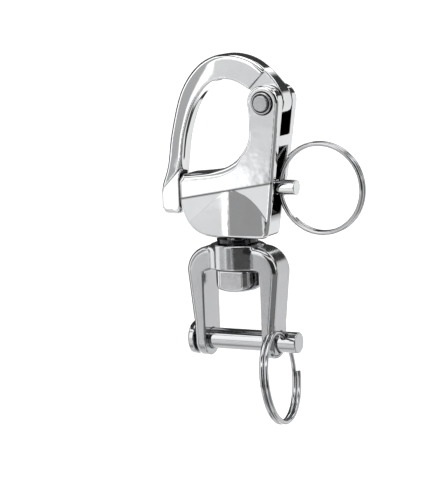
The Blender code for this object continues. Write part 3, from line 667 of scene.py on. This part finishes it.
def build_jaw():
    """A fork with round-bottomed legs, joined to the boss that turns on the stud."""
    top = JAW_TOP - 0.6
    bottom = CLEVIS_Z - JAW_HALF_DEPTH - 3.0
    outline = arc((JAW_SHOULDER - JAW_SHOULDER_RADIUS, top - JAW_SHOULDER_RADIUS),
                  JAW_SHOULDER_RADIUS, 88, 0, 24)
    outline += [(JAW_OUTER, CLEVIS_Z + 4.5), (JAW_OUTER, bottom), (JAW_INNER, bottom)]
    outline += arc((JAW_INNER - JAW_CORNER, JAW_UNDERSIDE - JAW_CORNER), JAW_CORNER, 0, 90, 12)
    outline += [(-x, z) for x, z in reversed(outline)]
    field = outline_field(outline)

    def distance(x, y, z):
        side = field(x, z)
        across = np.where(z < CLEVIS_Z, np.hypot(y, np.minimum(z - CLEVIS_Z, 0.0)), np.abs(y))
        outside = np.maximum(smooth_step(np.abs(x), JAW_INNER + 0.5, JAW_INNER + 2.0),
                             smooth_step(z, JAW_UNDERSIDE + 1.5, JAW_UNDERSIDE + 4.0))
        edge = JAW_INNER_EDGE + (JAW_OUTER_EDGE - JAW_INNER_EDGE) * outside
        fork = both(side, across - JAW_HALF_DEPTH, edge)
        boss = both(both(rod("Z", JAW_BOSS_RADIUS, x, y, z), z - JAW_TOP, 0.5),
                    JAW_UNDERSIDE - z, 0.5)
        fork = either(fork, boss, JAW_FILLET)
        below = np.maximum(z - JAW_UNDERSIDE, np.abs(x) - STUD_HEAD_RADIUS - 0.5)
        fork = without(fork, below, 0.3)
        fork = without(fork, rod("Z", STUD_RADIUS + RUNNING_GAP, x, y, z), 0.2)
        return without(fork, rod("X", CLEVIS_RADIUS + RUNNING_GAP, x, y, z, (0.0, CLEVIS_Z)), 0.2)

    return cast("jaw_cast", distance, (-15.4, -8.2, CLEVIS_Z - JAW_HALF_DEPTH - 0.8),
                (15.4, 8.2, JAW_TOP + 0.8), 0.3)


def build_stud():
    head_top = JAW_UNDERSIDE - FACE_GAP
    head_bottom = head_top - STUD_HEAD_DEPTH

    def distance(x, y, z):
        spread = np.hypot(x, y)
        dome = head_bottom + spread ** 2 / 24.0 - z
        head = both(both(spread - STUD_HEAD_RADIUS, z - head_top, 0.3), dome, 0.8)
        head = both(head, np.abs(y) - STUD_HEAD_RADIUS + 1.3, 0.35)
        shaft = both(spread - STUD_RADIUS, z - STUD_TOP, 0.4)
        shaft = np.maximum(shaft, head_bottom + 2.0 - z)
        stud = either(head, shaft, 0.2)
        notch = rod("Y", LOCK_PIN_RADIUS + RUNNING_GAP, x, y, z, (STUD_RADIUS, LOCK_PIN_Z))
        return without(stud, notch, 0.1)

    return cast("stud_turned", distance, (-7.2, -7.2, head_bottom - 0.6),
                (7.2, 7.2, STUD_TOP + 0.6), 0.25)


def build_pivot_pin():
    """A plain shaft whose two ends are riveted over: a flat collar with a button on it."""
    def distance(x, y, z):
        spread = np.hypot(x - PIVOT_X, z - PIVOT_Z)
        depth = np.abs(y)
        proud = depth - EAR_FACE
        shaft = both(spread - PIVOT_PIN_RADIUS, proud - 0.8, 0.3)
        button = both(both(spread - PIVOT_BUTTON_RADIUS, proud - 0.98, 0.2), 0.1 - proud, 0.05)
        collar = both(both(spread - PIVOT_HEAD_RADIUS, proud - 0.35, 0.3), -proud, 0.05)
        return either(np.minimum(shaft, button), collar, 0.1)

    return cast("pivot_pin_turned", distance, (PIVOT_X - 3.6, -8.4, PIVOT_Z - 3.6),
                (PIVOT_X + 3.6, 8.4, PIVOT_Z + 3.6), 0.15)


def build_plunger():
    """Nose, collar and stem on one axis, with the pull ring's cross hole."""
    def distance(x, y, z):
        spread = np.hypot(y, z - PLUNGER_Z)
        nose = both(both(spread - NOSE_RADIUS, NOSE_TIP - x, 0.5), x - COLLAR_LEFT - 1.0, 0.1)
        collar = both(both(spread - COLLAR_RADIUS, COLLAR_LEFT - x, 0.15),
                      x - COLLAR_LEFT - COLLAR_WIDTH + SPRING_CLEARANCE, 0.15)
        stem = both(both(spread - STEM_RADIUS, x - STEM_END, 0.3), COLLAR_LEFT - x, 0.1)
        rod_shape = np.minimum(np.minimum(nose, collar), stem)
        hole = rod("Z", RING_HOLE_RADIUS, x, y, z, (PLUNGER_HOLE_X, 0.0))
        return without(rod_shape, hole, 0.25)

    return cast("plunger_turned", distance, (NOSE_TIP - 0.8, -3.5, PLUNGER_Z - 3.5),
                (STEM_END + 0.8, 3.5, PLUNGER_Z + 3.5), 0.2)


def build_clevis_pin():
    head_right = -JAW_OUTER - FACE_GAP
    head_left = head_right - CLEVIS_HEAD_WIDTH
    slant = Vector((0.0, CLEVIS_RING_REACH, CLEVIS_RING_DROP)).normalized()

    def distance(x, y, z):
        up = z - CLEVIS_Z
        spread = np.hypot(y, up)
        head = both(both(spread - CLEVIS_HEAD_RADIUS, head_left - x, 0.5), x - head_right, 0.25)
        shaft = both(both(spread - CLEVIS_RADIUS, x - CLEVIS_END, 0.35), head_left + 0.5 - x, 0.1)
        off = y * slant.y + up * slant.z
        hole = np.hypot(x - CLEVIS_HOLE_X, off) - RING_HOLE_RADIUS
        return without(np.minimum(head, shaft), hole, 0.25)

    return cast("clevis_pin_turned", distance, (head_left - 0.8, -5.4, CLEVIS_Z - 5.4),
                (CLEVIS_END + 0.8, 5.4, CLEVIS_Z + 5.4), 0.22)


def build_washer():
    def distance(x, y, z):
        spread = np.hypot(x, y)
        ring = both(both(spread - WASHER_RADIUS, z - WASHER_TOP, 0.2), JAW_TOP + FACE_GAP - z, 0.2)
        return both(ring, STUD_RADIUS + RUNNING_GAP - spread, 0.2)

    return cast("washer_turned", distance, (-6.5, -6.5, JAW_TOP - 0.2),
                (6.5, 6.5, WASHER_TOP + 0.4), 0.15)


def split_ring(name, center, axis, toward):
    """Two turns of wire side by side, with flat cut ends, single for a quarter turn."""
    steps, sides = 168, 16
    basis = Vector(axis).to_track_quat("Z", "Y").to_matrix()
    middle = basis.transposed() @ Vector(toward)
    phase = atan2(middle.y, middle.x)
    verts, faces = [], []
    for index in range(steps + 1):
        part = index / steps - 0.5
        angle = phase + 2 * pi * RING_TURNS * part
        outward = Vector((cos(angle), sin(angle), 0.0))
        local = outward * RING_MEAN_RADIUS + Vector((0, 0, RING_PITCH * RING_TURNS * part))
        for side in range(sides):
            turn = 2 * pi * side / sides
            wire = (outward * cos(turn) + Vector((0, 0, 1)) * sin(turn)) * RING_WIRE / 2
            verts.append((Vector(center) + basis @ (local + wire)) * MM)
    for index in range(steps):
        for side in range(sides):
            following = (side + 1) % sides
            start, end = index * sides, (index + 1) * sides
            faces.append((start + side, start + following, end + following, end + side))
    faces.append(tuple(reversed(range(sides))))
    faces.append(tuple(range(steps * sides, (steps + 1) * sides)))
    mesh = bpy.data.meshes.new(name)
    mesh.from_pydata(verts, [], faces)
    mesh.shade_smooth()
    mesh.set_sharp_from_angle(angle=radians(50))
    piece = bpy.data.objects.new(name, mesh)
    bpy.context.scene.collection.objects.link(piece)
    return piece


def build_rings():
    pull = split_ring("pull_ring_wire", (PLUNGER_HOLE_X + RING_MEAN_RADIUS, 0.0, PLUNGER_Z),
                      (0, -1, 0), (-1, 0, 0))
    outward = Vector((1.0, 0.0, 0.0))
    down = Vector((0.0, -CLEVIS_RING_REACH, -CLEVIS_RING_DROP)).normalized()
    to_center = down * cos(CLEVIS_RING_LEAN) + outward * sin(CLEVIS_RING_LEAN)
    axis = outward * cos(CLEVIS_RING_LEAN) - down * sin(CLEVIS_RING_LEAN)
    center = Vector((CLEVIS_HOLE_X, 0.0, CLEVIS_Z)) + to_center * RING_MEAN_RADIUS
    return pull, split_ring("clevis_ring_wire", center, axis, -to_center)


def stands_for(piece, node, body, material):
    piece.data.materials.append(material)
    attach(piece, body)
    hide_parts(node)


bpy.context.scene.view_settings.view_transform = "Standard"
add_camera()
add_world()
add_floor()
steel = polished_steel("polished_steel", STEEL, 0.05, 0.1)
# The body's steel, with shade painted into its dark places, round the pivot and along the crease.
body_steel = polished_steel("body_steel", STEEL, 0.05, 0.1, BODY_SHADE_BOXES, (EAR_SHADOW_RING,), True)
# The pivot pin's steel, with shade painted into the step between collar and button.
pin_steel = polished_steel("pin_steel", PIN_TINT, 0.08, 0.2, shade_rings=(PIN_SHADE_RING,))
# Near-black steel: painted shade between the body and the jaw.
washer_shade_steel = polished_steel("washer_shade_steel", WASHER_SHADE_TINT, 0.10, 0.2)
jaw_steel = polished_steel("jaw_steel", JAW_TINT, 0.15, 0.2)
stud_steel = polished_steel("stud_steel", STUD_TINT, 0.09, 0.2)
ring_steel = polished_steel("ring_steel", RING_TINT, 0.06, 0.2)
bore_steel = polished_steel("bore_steel", BORE_TINT, 0.22, 0.4)
for node in nodes.values():
    node.data.materials.clear()
    node.data.materials.append(bore_steel)
stands_for(build_body(), "body", "body", body_steel)
stands_for(build_bail(), "bail", "bail", steel)
stands_for(build_jaw(), "jaw", "jaw", jaw_steel)
stands_for(build_stud(), "swivel_stud", "body", stud_steel)
stands_for(build_pivot_pin(), "bail_pivot_pin", "body", pin_steel)
stands_for(build_plunger(), "plunger", "plunger", steel)
stands_for(build_clevis_pin(), "clevis_pin", "clevis_pin", ring_steel)
stands_for(build_washer(), "swivel_washer", "body", washer_shade_steel)
pull_ring, clevis_ring = build_rings()
stands_for(pull_ring, "plunger_ring", "pull_ring", ring_steel)
stands_for(clevis_ring, "clevis_ring", "clevis_ring", ring_steel)
